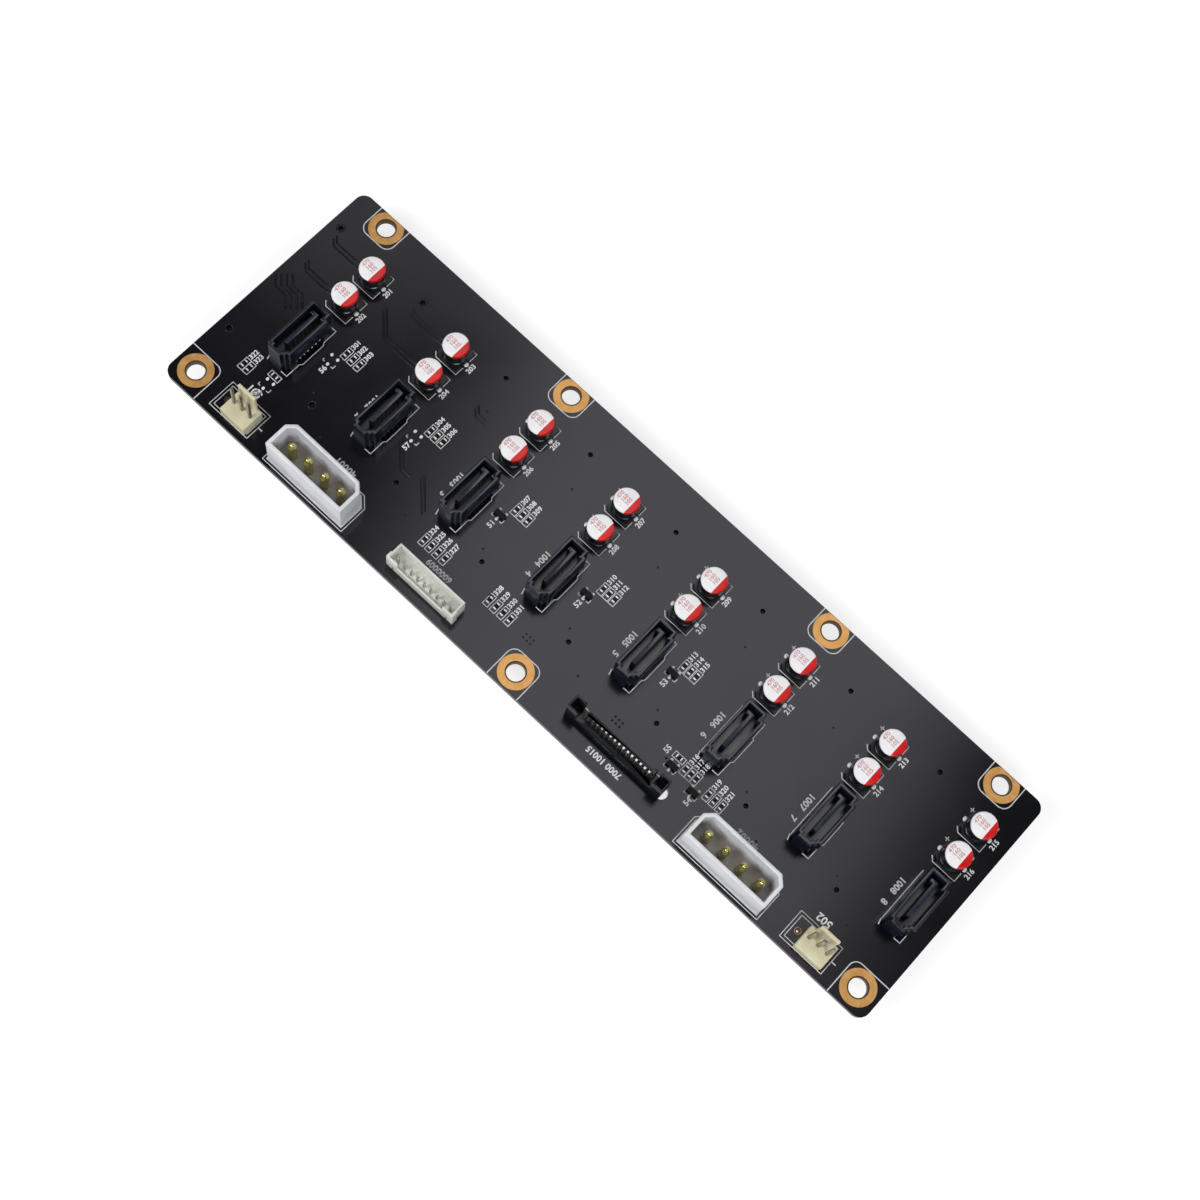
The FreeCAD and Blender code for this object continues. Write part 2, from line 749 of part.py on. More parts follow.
def power_inlet_contacts():
    """Fifteen contacts up the tongue's grooves, with turned-in tips and soldered feet behind."""
    body = start_body("power_inlet_contacts", "inlet_place", "inlet_row")
    first = row_start("power_count", "contact_pitch")
    sketch = start_sketch(body, "strip", first, plane="YZ_Plane")
    front = "inlet_tongue_front + inlet_contact_inset"
    corners = [
        (front, "0"),
        ("inlet_tail_reach", "0"),
        ("inlet_tail_reach", "contact_thickness"),
        (f"{front} + contact_thickness", "contact_thickness"),
        (f"{front} + contact_thickness", "inlet_contact_top - contact_thickness"),
        (f"{front} + inlet_contact_tip", "inlet_contact_top - contact_thickness"),
        (f"{front} + inlet_contact_tip", "inlet_contact_top"),
        (front, "inlet_contact_top"),
    ]
    add_outline(sketch, corners)
    strip = extrude(body, sketch, "contact_width", both_ways=True)
    repeat(body, [strip], "X_Axis", "power_count", "contact_pitch")


# ---------------------------------------------------------------- capacitors

CAN_ROWS = ["0", "can_row_pitch"]


def start_capacitor_part(name):
    return start_body(name, column_x(0, "can_offset"), "can_first_row")


def repeat_capacitors(body, features):
    repeat(body, features, "X_Axis", "column_count", "column_pitch")


def capacitor_cans():
    """Closed metal cans with a soft shoulder, standing on their bases."""
    body = start_capacitor_part("capacitor_cans")
    profile = [
        ("0", "can_bottom"),
        ("can_radius", "can_bottom"),
        ("can_radius", "can_top - can_shoulder"),
        ("can_radius - can_shoulder", "can_top"),
        ("0", "can_top"),
    ]
    for number, row in enumerate(CAN_ROWS, 1):
        repeat_capacitors(body, [spin(body, f"can_{number}", profile, row)])


def capacitor_bases():
    """Square moulded bases with two cut corners on the positive side."""
    body = start_capacitor_part("capacitor_bases")
    half = "base_width / 2"
    plates = start_sketch(body, "plates", "lead_thickness")
    for row in CAN_ROWS:
        corners = [
            (half, f"{row} - {half}"),
            (half, f"{row} + {half}"),
            (f"-{half} + base_chamfer", f"{row} + {half}"),
            (f"-{half}", f"{row} + {half} - base_chamfer"),
            (f"-{half}", f"{row} - {half} + base_chamfer"),
            (f"-{half} + base_chamfer", f"{row} - {half}"),
        ]
        add_outline(plates, corners)
    repeat_capacitors(body, [extrude(body, plates, "can_bottom - lead_thickness")])


def capacitor_leads():
    """Two flat leads under each base, one to each side."""
    body = start_capacitor_part("capacitor_leads")
    sketch = start_sketch(body, "leads")
    for row in CAN_ROWS:
        for left, right in (("-lead_outer", "-lead_inner"), ("lead_inner", "lead_outer")):
            add_outline(sketch, span(left, right, f"{row} - lead_width / 2", f"{row} + lead_width / 2"))
    repeat_capacitors(body, [extrude(body, sketch, "lead_thickness")])


# ---------------------------------------------------------------- small surface-mounted parts

# Chip resistors stand in short rows. Each row: place of its first chip, step between chips,
# number of chips, and whether the chips lie along X instead of along Y.
CHIP_ROWS = [
    (f"{column_x(0)} + 9.0", "0", "2.05", "3", False),
    (f"{column_x(1)} + 9.1", "0", "1.95", "3", False),
    (f"{column_x(2)} + 9.4", "0", "1.85", "3", False),
    (f"{column_x(3)} + 9.5", "0", "1.8", "3", False),
    (f"{column_x(4)} + 8.05", "-0.45", "1.8", "3", False),
    ("42.4", "-17.9", "1.6", "3", False),
    ("49.9", "-18.6", "1.95", "3", False),
    ("-95.5", "-18.4", "1.6", "2", False),
    ("-36.2", "-19.95", "2.15", "4", False),
    ("-15.85", "-20", "2.15", "4", False),
    ("-88.3", "-15.75", "0", "1", True),
    ("39.6", "-16.9", "0", "1", True),
]

# Transistors beside drives 3 to 5, and two more between the power inlet and a power header.
TRANSISTORS = [
    (f"{column_x(2)} + 7.6", "-3.65"),
    (f"{column_x(3)} + 7.6", "-3.6"),
    (f"{column_x(4)} + 7.1", "-3.6"),
    ("39.65", "-19.5"),
    ("47.0", "-20.7"),
]


def chip_block(along_x, x, y, offset, length):
    """Outline of one block of a chip, offset from its centre along the chip's own length."""
    if along_x:
        return rectangle(f"{x} + ({offset})", y, length, "chip_width")
    return rectangle(x, f"{y} + ({offset})", "chip_width", length)


def chip_part(name, offsets, length, height):
    """Add the same blocks to every chip, one row of chips after another."""
    body = start_body(name)
    for number, (x, y, step, count, along_x) in enumerate(CHIP_ROWS, 1):
        sketch = start_sketch(body, f"row_{number}")
        for offset in offsets:
            add_outline(sketch, chip_block(along_x, x, y, offset, length))
        blocks = extrude(body, sketch, height)
        if count != "1":
            repeat(body, [blocks], "X_Axis", count, step)


def chip_resistors():
    chip_part("chip_resistors", ["0"], "chip_core_length", "chip_core_height")


def chip_end_caps():
    reach = "(chip_core_length + chip_cap_length) / 2"
    chip_part("chip_end_caps", [f"-{reach}", reach], "chip_cap_length", "chip_cap_height")


def transistor_bodies():
    body = start_body("transistor_bodies")
    sketch = start_sketch(body, "mouldings", "transistor_lead_thickness")
    for x, y in TRANSISTORS:
        add_outline(sketch, rectangle(x, y, "transistor_length", "transistor_width"))
    extrude(body, sketch, "transistor_top - transistor_lead_thickness")


def transistor_leads():
    """Two leads on the side towards the capacitors and one on the other."""
    body = start_body("transistor_leads")
    sketch = start_sketch(body, "leads")
    inner = "transistor_lead_inner"
    outer = "transistor_lead_outer"
    for x, y in TRANSISTORS:
        for spread, low, high in (
            ("-transistor_lead_spread", inner, outer),
            ("transistor_lead_spread", inner, outer),
            ("0", f"-{outer}", f"-{inner}"),
        ):
            left = f"{x} + {spread} - transistor_lead_width / 2"
            right = f"{x} + {spread} + transistor_lead_width / 2"
            add_outline(sketch, span(left, right, f"{y} + {low}", f"{y} + {high}"))
    extrude(body, sketch, "transistor_lead_thickness")


# ---------------------------------------------------------------- assembly and export

def build_all():
    circuit_board()
    for index in COLUMNS:
        data_header(index)
        data_header_contacts(index)
        drive_connector(index)
        drive_connector_contacts(index)
    for number, side in ((1, -1), (2, 1)):
        power_header(number, side)
        power_header_pins(number, side)
    for number, place in ((1, "fan_place_1"), (2, "fan_place_2")):
        fan_header(number, place)
        fan_header_pins(number, place)
    led_header()
    led_header_pins()
    power_inlet()
    power_inlet_contacts()
    capacitor_cans()
    capacitor_bases()
    capacitor_leads()
    chip_resistors()
    chip_end_caps()
    transistor_bodies()
    transistor_leads()


def check_all():
    doc.recompute()
    for item in doc.Objects:
        if "Invalid" in item.State or "Error" in item.State:
            raise ValueError(f"{item.Name} failed: {item.State}")
    for body in sub_parts:
        if body.Shape.isNull() or not body.Shape.isValid():
            raise ValueError(f"{body.Label} has no valid shape")


build_all()
check_all()
os.makedirs("parts", exist_ok=True)
for sub_part in sub_parts:
    sub_part.Shape.exportStep(f"parts/{sub_part.Label}.step")
    print(sub_part.Label, len(sub_part.Shape.Solids), round(sub_part.Shape.Volume, 2))
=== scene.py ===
"""Looks of a drive backplane board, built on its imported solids."""
import bpy
import math
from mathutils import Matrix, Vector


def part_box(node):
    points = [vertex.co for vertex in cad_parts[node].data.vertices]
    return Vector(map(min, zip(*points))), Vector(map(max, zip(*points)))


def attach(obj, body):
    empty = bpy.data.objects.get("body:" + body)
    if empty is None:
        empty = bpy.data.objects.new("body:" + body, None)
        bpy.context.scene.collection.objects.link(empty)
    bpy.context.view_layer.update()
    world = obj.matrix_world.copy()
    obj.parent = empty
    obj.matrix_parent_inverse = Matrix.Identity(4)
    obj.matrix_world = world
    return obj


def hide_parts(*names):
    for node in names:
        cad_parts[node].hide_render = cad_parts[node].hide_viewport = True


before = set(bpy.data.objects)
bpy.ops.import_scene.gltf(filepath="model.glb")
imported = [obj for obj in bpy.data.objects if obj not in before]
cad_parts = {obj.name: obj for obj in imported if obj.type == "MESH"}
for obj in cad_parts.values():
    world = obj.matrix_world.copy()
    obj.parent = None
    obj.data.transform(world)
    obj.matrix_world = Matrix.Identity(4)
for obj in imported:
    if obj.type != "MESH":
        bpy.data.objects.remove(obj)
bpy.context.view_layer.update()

# ---- Studio: the board lies flat on white paper, seen from above and a little to its front.
# One large soft lamp stands where its reflection falls on the middle of the board, and the
# others stand where the flat board doesn't mirror them, so its two ends stay dark.
MM = 0.001
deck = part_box("circuit_board")[1][2]
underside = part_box("circuit_board")[0][2]


def linear(colour):
    """Turn an sRGB hex value into the linear colour that shaders work in."""
    channels = [int(colour[place:place + 2], 16) / 255 for place in (1, 3, 5)]
    return [c / 12.92 if c <= 0.04045 else ((c + 0.055) / 1.055) ** 2.4 for c in channels] + [1.0]


def add_node(tree, kind, sockets, **settings):
    """Add one node with its settings; a socket takes a value or another node's output."""
    node = tree.nodes.new(kind)
    for name, value in settings.items():
        setattr(node, name, value)
    for name, value in sockets.items():
        if isinstance(value, bpy.types.NodeSocket):
            tree.links.new(value, node.inputs[name])
        else:
            node.inputs[name].default_value = value
    return node


def start_material(name):
    """Start a material with an empty node tree."""
    material = bpy.data.materials.new(name)
    material.use_nodes = True
    material.node_tree.nodes.clear()
    return material, material.node_tree


camera_data = bpy.data.cameras.new("camera")
camera_data.lens = 57.87
camera_data.sensor_width = 36.0
camera = bpy.data.objects.new("camera", camera_data)
camera.location = (53.4 * MM, -122.2 * MM, 418.5 * MM + deck)
camera.rotation_euler = [math.radians(angle) for angle in (16.278, -5.932, 42.688)]
bpy.context.collection.objects.link(camera)
bpy.context.scene.camera = camera

bpy.ops.object.select_all(action="DESELECT")
bpy.ops.mesh.primitive_plane_add(size=6.0)
table = bpy.context.object
table.name = "table"
# The camera and reflections see the paper as white, and it still takes the board's shadow.
paper, tree = start_material("matt white paper sweep")
path = add_node(tree, "ShaderNodeLightPath", {})
seen = path.outputs["Is Camera Ray"]
for ray in ("Is Glossy Ray", "Is Transmission Ray"):
    either = add_node(tree, "ShaderNodeMath", {0: seen, 1: path.outputs[ray]}, operation="MAXIMUM")
    seen = either.outputs[0]
matt = add_node(tree, "ShaderNodeBsdfDiffuse", {"Color": linear("#a8a8a8")})
glow = add_node(tree, "ShaderNodeEmission", {"Color": (1, 1, 1, 1), "Strength": 0.74})
lit = add_node(tree, "ShaderNodeAddShader", {0: matt.outputs[0], 1: glow.outputs[0]})
sweep = add_node(tree, "ShaderNodeMixShader", {"Fac": seen, 1: matt.outputs[0], 2: lit.outputs[0]})
add_node(tree, "ShaderNodeOutputMaterial", {"Surface": sweep.outputs[0]})
table.data.materials.append(paper)

world = bpy.data.worlds.new("studio")
bpy.context.scene.world = world
world.use_nodes = True
world.node_tree.nodes["Background"].inputs["Color"].default_value = (1, 1, 1, 1)
world.node_tree.nodes["Background"].inputs["Strength"].default_value = 0.05

# Each lamp: its place and its two widths in metres, and its power in watts.
for name, place, width, depth, power in (
    ("overhead_softbox", (-0.053, 0.29, 0.95), 0.415, 0.50, 1.2),
    ("side_softbox", (-0.42, 0.43, 0.95), 0.30, 0.18, 0.18),
    ("key_lamp", (-0.55, -0.75, 0.95), 0.60, 0.60, 10.0),
    ("fill_lamp", (0.75, -0.55, 0.90), 0.60, 0.60, 7.2),
    ("rim_lamp", (0.55, 0.85, 0.45), 0.35, 0.35, 1.8),
):
    lamp_data = bpy.data.lights.new(name, "AREA")
    lamp_data.shape = "RECTANGLE"
    lamp_data.size = width
    lamp_data.size_y = depth
    lamp_data.energy = power
    lamp = bpy.data.objects.new(name, lamp_data)
    lamp.location = place
    lamp.rotation_euler = (-lamp.location).to_track_quat("-Z", "Y").to_euler()
    bpy.context.collection.objects.link(lamp)

bpy.context.scene.view_settings.view_transform = "Standard"

# ---- Laminate: glass-fibre sheet under a satin black solder mask, cut and drilled by a router.
# The mask is sprayed, so it has a faint orange peel and slow changes of gloss. The cut sides
# have no mask on them, so they shine less than the two faces.


def patterned(name, dark, pale, patch, grain, depth, roughness, **surface):
    """Make a finish that drifts between two colours, over patches and a fine grain sized in mm.

    A grain that is too fine to show is drawn coarser, at 0.08 mm or more.
    """
    gloss_drift = 0.06
    material, tree = start_material(name)
    place = add_node(tree, "ShaderNodeTexCoord", {})
    drift = add_node(tree, "ShaderNodeTexNoise",
                     {"Vector": place.outputs["Object"], "Scale": 1 / (patch * MM), "Detail": 3.0})
    blend = add_node(tree, "ShaderNodeMapRange",
                     {"Value": drift.outputs["Fac"], "From Min": 0.3, "From Max": 0.7})
    colour = add_node(tree, "ShaderNodeMix",
                      {0: blend.outputs[0], 6: linear(dark), 7: linear(pale)}, data_type="RGBA")
    fine = add_node(tree, "ShaderNodeTexNoise",
                    {"Vector": place.outputs["Object"], "Scale": 1 / (grain * MM), "Detail": 2.0})
    gloss = add_node(tree, "ShaderNodeMapRange", {
        "Value": drift.outputs["Fac"], "To Min": roughness - gloss_drift, "To Max": roughness + gloss_drift})
    relief = add_node(tree, "ShaderNodeBump",
                      {"Height": fine.outputs["Fac"], "Distance": depth * MM, "Strength": 1.0})
    shader = add_node(tree, "ShaderNodeBsdfPrincipled", {
        "Base Color": colour.outputs[2], "Roughness": gloss.outputs[0], "Normal": relief.outputs[0],
        **surface})
    add_node(tree, "ShaderNodeOutputMaterial", {"Surface": shader.outputs[0]})
    return material


def dress(node, material):
    """Give a CAD node a finish of its own."""
    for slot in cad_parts[node].material_slots:
        slot.material = material


solder_mask = patterned("satin black solder mask", "#05070b", "#0a0b12", patch=22, grain=0.9, depth=0.002,
                        roughness=0.17, **{"Specular Tint": (0.94, 0.92, 1.0, 1.0)})
half = (deck - underside) / 2
tree = solder_mask.node_tree
place = add_node(tree, "ShaderNodeTexCoord", {})
height = add_node(tree, "ShaderNodeSeparateXYZ", {0: place.outputs["Object"]})
middle = add_node(tree, "ShaderNodeMath", {0: height.outputs["Z"], 1: (deck + underside) / 2},
                  operation="SUBTRACT")
distance = add_node(tree, "ShaderNodeMath", {0: middle.outputs[0]}, operation="ABSOLUTE")
shine = add_node(tree, "ShaderNodeMapRange", {
    "Value": distance.outputs[0], "From Min": half - 0.02 * MM, "From Max": half - 0.01 * MM,
    "To Min": 0.1, "To Max": 0.5})
tree.links.new(shine.outputs[0], tree.nodes["Principled BSDF"].inputs["Specular IOR Level"])
dress("circuit_board", solder_mask)

# ---- Copper tracks: etched strips under the mask, which stands a hundredth of a millimetre proud
# over them. They run in pairs and in one bundle of four, and round the drive connectors' peg holes.
# The mask looks a shade paler over copper, and only the edges of the strips catch the light.


def pick(piece):
    """Make a piece the only one that operators act on."""
    bpy.ops.object.select_all(action="DESELECT")
    piece.select_set(True)
    bpy.context.view_layer.objects.active = piece


def keep(piece, name, material, slot, *replaced):
    """Name a finished piece, give it its finish, and let it ride on the board."""
    piece.name = name
    piece.data.materials.clear()
    piece.data.materials.append(material)
    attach(piece, "root")
    if replaced:
        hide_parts(*replaced)
    return piece


def lay_lines(name, lines, width, height, material, slot):
    """Lay flat strips on the board, each along a path in mm, as one piece."""
    curve = bpy.data.curves.new(name, "CURVE")
    curve.dimensions = "3D"
    curve.bevel_depth = width / 2 * MM
    curve.bevel_resolution = 0
    curve.use_fill_caps = True
    for line in lines:
        closed = line[0] == line[-1]
        points = line[:-1] if closed else line
        spline = curve.splines.new("POLY")
        spline.points.add(len(points) - 1)
        spline.use_cyclic_u = closed
        for point, (x, y) in zip(spline.points, points):
            point.co = (x * MM, y * MM, deck, 1.0)
    strips = bpy.data.objects.new(name, curve)
    bpy.context.collection.objects.link(strips)
    pick(strips)
    bpy.ops.object.convert(target="MESH")
    bpy.ops.object.mode_set(mode="EDIT")
    bpy.ops.mesh.select_all(action="SELECT")
    bpy.ops.transform.resize(value=(1, 1, 2 * height / width), center_override=(0, 0, deck))
    bpy.ops.object.mode_set(mode="OBJECT")
    return keep(bpy.context.object, name, material, slot)


def moved(line, x, y=0.0):
    """Shift a path, all in mm."""
    return [(x + along, y + across) for along, across in line]


first_column = -89.65
pitch = 27.0
columns = [first_column + pitch * number for number in range(8)]
pair_gap = 1.1
bundle_step = (-0.9, -0.97)
connector_offset = -14.7
peg_rows = (21.85, -14.65)
ring_radius = 0.95

paired_tracks = (
    [(-103.6, 18.7), (-102.2, 17.3), (-93.3, 17.3)],
    [(-103.8, 9.6), (-102.2, 8.0), (-93.3, 8.0)],
    [(-82.5, 13.9), (-77.0, 8.4), (-66.3, 8.4)],
    [(-77.5, 17.9), (-76.9, 17.3), (-66.3, 17.3)],
    [(-50.3, 11.4), (-48.5, 9.6), (-45.5, 9.6)],
    [(-56.8, -6.9), (-51.2, -12.5), (-49.0, -12.5)],
    [(-47.1, -9.9), (-40.8, -16.2)],
)
bundled_track = [(-103.9, 5.5), (-101.7, 3.3), (-98.5, 3.3), (-95.9, 0.7)]
tracks = [moved(line, 0.0, pair_gap * number) for number in range(2) for line in paired_tracks]
tracks += [moved(bundled_track, bundle_step[0] * number, bundle_step[1] * number) for number in range(4)]
ring = [(ring_radius * math.cos(turn / 8 * math.pi), ring_radius * math.sin(turn / 8 * math.pi))
        for turn in range(16)]
ring += ring[:1]
tracks += [moved(ring, x + connector_offset, y) for x in columns[:2] for y in peg_rows]
mask_on_copper = patterned("solder mask over copper", "#10131a", "#171a23", patch=9, grain=0.7, depth=0.002,
                           roughness=0.2)
lay_lines("copper_tracks", tracks, width=0.45, height=0.012, material=mask_on_copper, slot="solder_mask")

# ---- Printed outlines: a white epoxy ink screened on the mask, in lines 0.3 mm wide. They go
# round the headers and screw holes, mark the positive side of each capacitor, and frame the places
# of chips and transistors. The ink is flat, dry and slightly grey.
ink = patterned("screened white epoxy ink", "#d4d5d7", "#e8e9ea", patch=1.5, grain=0.25, depth=0.004,
                roughness=0.6)
can_rows = (8.7, 17.7)
can_line_offset = -0.1
power_x = 63.5
fan_x = 88.0
fan_half = 6.05
fan_front = -30.9
fan_back = -23.4


def rectangle(across, low, high):
    """Give the closed outline of a rectangle centred on x = 0."""
    return [(-across, low), (across, low), (across, high), (-across, high), (-across, low)]


header_lines = (
    [(-3.25, -12.4), (-3.25, 2.2)],
    [(-3.4, -12.4), (-3.0, -13.9)],
    [(1.7, 2.15), (3.25, 2.15), (3.25, -1.9), (3.7, -2.4), (3.7, -9.1),
     (3.2, -9.7), (3.2, -13.8), (1.4, -13.8)],
)
capacitor_lines = (
    [(2.1, 3.55), (3.5, 3.55), (3.5, 1.1)],
    [(3.5, -1.1), (3.5, -3.55), (-2.9, -3.55), (-3.9, -2.5)],
    [(-4.3, 2.7), (-3.1, 2.7)],
    [(-3.7, 2.1), (-3.7, 3.3)],
)
outlines = []
for x in columns:
    outlines += [moved(line, x) for line in header_lines]
    for y in can_rows:
        outlines += [moved(line, x + can_line_offset, y) for line in capacitor_lines]

# Round the screw holes that lie along an edge: a U that opens to the edge, with two round corners.
edge_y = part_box("circuit_board")[1][1] / MM
upper_screws = ((-96.8, 29.4), (-36.5, 29.4), (45.1, 29.4), (96.8, 29.4))
lower_screws = ((-102.0, -27.45), (-0.1, -28.0), (102.0, -27.45))
u_straight = 2.35
u_corner = 2.2
u_reach = 2.1
arc = [(math.cos(math.radians(angle)), math.sin(math.radians(angle))) for angle in range(0, 91, 15)]
for x, y in upper_screws + lower_screws[1:2]:
    side = 1 if y > 0 else -1
    left = [(-u_straight - u_corner * a, y - side * (u_reach + u_corner * b)) for a, b in arc]
    right = [(u_straight + u_corner * a, y - side * (u_reach + u_corner * b)) for a, b in arc[::-1]]
    first, last = [(end * (u_straight + u_corner), edge_y * side) for end in (-1, 1)]
    outlines.append(moved([first] + left + right + [last], x))

# At each end of the board: round the corner screw, the power header and the fan header.
power_line = [(-12.5, -31.8), (12.5, -31.8), (12.5, -24.3), (10.2, -22.0),
              (-10.2, -22.0), (-12.5, -24.3), (-12.5, -31.8)]
line_end = 107.3
bend_x = 99.4
bend_y = -25.0
bend_radius = 2.0
for side in (-1, 1):
    bend = [(side * (bend_x - bend_radius * a), bend_y + bend_radius * b) for a, b in arc[::-1]]
    last = (side * (bend_x - bend_radius), -edge_y)
    outlines.append([(side * line_end, bend_y + bend_radius)] + bend + [last])
    outlines.append(moved(power_line, side * power_x))
    for inset in (0.0, 0.75):
        frame_line = rectangle(fan_half - inset, fan_front + inset, fan_back - inset)
        outlines.append(moved(frame_line, side * fan_x))

transistor_frames = ((-28.1, -3.7), (-0.95, -3.7), (25.6, -3.6), (39.6, -19.5), (47.0, -20.7))
empty_frames = ((-82.0, -3.8), (-55.1, -3.8), (-88.1, -18.5))
for x, y in transistor_frames + empty_frames:
    outlines.append(moved([(-1.6, -0.6), (-1.6, -1.15), (-1.0, -1.15)], x, y))
    outlines.append(moved([(1.6, -0.2), (1.6, -1.15), (1.0, -1.15)], x, y))

# Each row of chips: the place of its first, the step from one to the next, and how many.
chip_rows = (
    (columns[0] + 9.0, 0.0, 2.05, 3), (columns[1] + 9.1, 0.0, 1.95, 3), (columns[2] + 9.4, 0.0, 1.85, 3),
    (columns[3] + 9.5, 0.0, 1.8, 3), (columns[4] + 8.05, -0.45, 1.8, 3), (42.4, -17.9, 1.6, 3),
    (49.9, -18.6, 1.95, 3), (-95.5, -18.4, 1.6, 2), (-36.2, -19.95, 2.15, 4), (-15.85, -20.0, 2.15, 4),
)
chips = [(x + step * number, y) for x, y, step, count in chip_rows for number in range(count)]
chip_line = rectangle(0.75, -1.55, 1.55)
outlines += [moved(chip_line, x, y) for x, y in chips]
for x, y in ((-88.3, -15.75), (39.6, -16.9)):
    outlines.append([(x + across, y + along) for along, across in chip_line])
lay_lines("printed_outlines", outlines, width=0.3, height=0.02, material=ink, slot="solder_mask")

# ---- Printed numbers: the same ink through the same screen, in plain figures that stand for the
# names of the parts. Those of a drive stand beside its header and its two capacitors.


def joined(pieces):
    """Join pieces into the first of them."""
    bpy.ops.object.select_all(action="DESELECT")
    for piece in pieces:
        piece.select_set(True)
    bpy.context.view_layer.objects.active = pieces[0]
    bpy.ops.object.join()
    return pieces[0]


def print_numbers(name, numbers, material, slot, level):
    """Print plain numbers flat on a face, each from its text, place in mm, size in mm and turn."""
    labels = []
    for text, x, y, size, turn in numbers:
        bpy.ops.object.select_all(action="DESELECT")
        bpy.ops.object.text_add(location=(x * MM, y * MM, level), rotation=(0, 0, math.radians(turn)))
        label = bpy.context.object
        label.data.body = text
        label.data.size = size * MM
        label.data.resolution_u = 2
        label.data.offset = 0.03 * size * MM
        label.data.extrude = 0.008 * MM
        label.data.align_x = "CENTER"
        label.data.align_y = "CENTER"
        bpy.ops.object.convert(target="MESH")
        bpy.ops.object.transform_apply(location=True, rotation=True, scale=True)
        labels.append(bpy.context.object)
    return keep(joined(labels), name, material, slot)


# Each number: its figures, its place, its size, and how far it is turned.
header_figures = 2.2
capacitor_figures = 1.75
chip_figures = 1.7
transistor_figures = 1.9
beside_header = -5.3
beside_capacitor = 4.95
beyond_chip = 3.1
numbers = []
for count, x in enumerate(columns, 1):
    numbers.append((str(1000 + count), x + beside_header, -4.35, header_figures, -90))
    numbers.append((str(count), x + beside_header, -9.2, header_figures, -90))
    numbers.append((str(200 + 2 * count), x + beside_capacitor, can_rows[0], capacitor_figures, 90))
    numbers.append((str(199 + 2 * count), x + beside_capacitor, can_rows[1], capacitor_figures, 90))
for count, (x, y) in enumerate(chips, 301):
    numbers.append((str(count), x, y + beyond_chip, chip_figures, 90))
for count, (x, y) in enumerate(((-28.1, -6.6), (-0.95, -6.6), (25.6, -6.5), (47.6, -23.0), (36.4, -17.2),
                                (-81.8, -6.7), (-54.9, -6.7), (-88.1, -21.4)), 51):
    numbers.append((str(count), x, y, transistor_figures, 90))
for count, side in enumerate((-1, 1), 1):
    numbers.append((str(40000 + count), side * 62.0 + 0.9, -20.1, 2.4, 180))
    numbers.append((str(500 + count), side * fan_x - 0.9, -21.6, 2.6, 180))
    numbers.append(("1", side * fan_x + 6.7, -27.3, 1.7, 90))
numbers.append(("6000009", -28.7, -23.0, 2.1, 180))
numbers.append(("7000 10015", 28.1, -29.4, 2.1, 180))
print_numbers("printed_numbers", numbers, ink, "solder_mask", deck + 0.004 * MM)

# ---- Screw lands: copper rings plated with nickel and gold on both faces of the board, joined by a
# plated barrel. The gold has a soft satin shine. The barrel and the ring round its mouth are painted
# dark brown, as painted shade inside the hole. The upper lands are cut off just inside the board's edge.
gold = patterned("immersion gold over nickel", "#dca35a", "#efba76", patch=1.6, grain=0.12, depth=0.003,
                 roughness=0.42, Metallic=0.8)
# Painted shade: a dark brown gold that stands for the shade inside a drilled hole.
hole_shade_gold = patterned("gold painted with a drilled hole's shade", "#3a2a1c", "#59422b", patch=1.2, grain=0.12,
                      depth=0.003, roughness=0.5, Metallic=0.7)
screw_hole_radius = 2.25
screw_land_radius = 4.25
plating = 0.05
# Width of the painted-shade ring round the hole's mouth.
shade_ring_width = 0.28
edge_gap = 0.15


def finish_faces(smooth_angle):
    """Turn the active piece's faces outwards, and shade it smooth over edges flatter than an angle."""
    bpy.ops.object.mode_set(mode="EDIT")
    bpy.ops.mesh.select_all(action="SELECT")
    bpy.ops.mesh.normals_make_consistent(inside=False)
    bpy.ops.object.mode_set(mode="OBJECT")
    bpy.ops.object.shade_smooth_by_angle(angle=math.radians(smooth_angle))


def plated_hole(name, x, y, inner, outer, trim=None, face=gold):
    """Turn a plated barrel with a flat land at each end, trimmed along the board's edge."""
    rim = inner + shade_ring_width
    centre = (x * MM, y * MM, deck)
    bpy.ops.object.select_all(action="DESELECT")
    bpy.ops.mesh.primitive_circle_add(vertices=64, radius=outer * MM, location=centre)
    piece = bpy.context.object
    bpy.ops.object.mode_set(mode="EDIT")
    bpy.ops.transform.translate(value=(0, 0, plating * MM))
    for size, drop in ((rim / outer, 0.0), (inner / rim, 0.0), (1.0, underside - deck - 2 * plating * MM),
                       (rim / inner, 0.0), (outer / rim, 0.0)):
        bpy.ops.mesh.extrude_edges_move(TRANSFORM_OT_translate={"value": (0, 0, drop)})
        bpy.ops.transform.resize(value=(size, size, 1.0), center_override=centre)
    if trim:
        bpy.ops.mesh.select_all(action="SELECT")
        bpy.ops.mesh.bisect(plane_co=(0, trim, 0), plane_no=(0, 1, 0), clear_outer=True)
    bpy.ops.object.mode_set(mode="OBJECT")
    bpy.ops.object.transform_apply(location=True, rotation=True, scale=True)
    wall = piece.modifiers.new("plating", "SOLIDIFY")
    wall.thickness = plating * MM
    wall.offset = 1.0
    bpy.ops.object.modifier_apply(modifier="plating")
    finish_faces(40)
    keep(piece, name, face, "gold_contacts")
    # The barrel and the ring round its mouth take the painted-shade gold.
    piece.data.materials.append(hole_shade_gold)
    for polygon in piece.data.polygons:
        across = math.hypot(polygon.center.x / MM - x, polygon.center.y / MM - y)
        polygon.material_index = int(across < rim - 0.02)
    return piece


for number, (x, y) in enumerate(upper_screws + lower_screws, 1):
    plated_hole(f"screw_land_{number}", x, y, screw_hole_radius, screw_land_radius,
                trim=(edge_y - edge_gap) * MM if y > 0 else None)

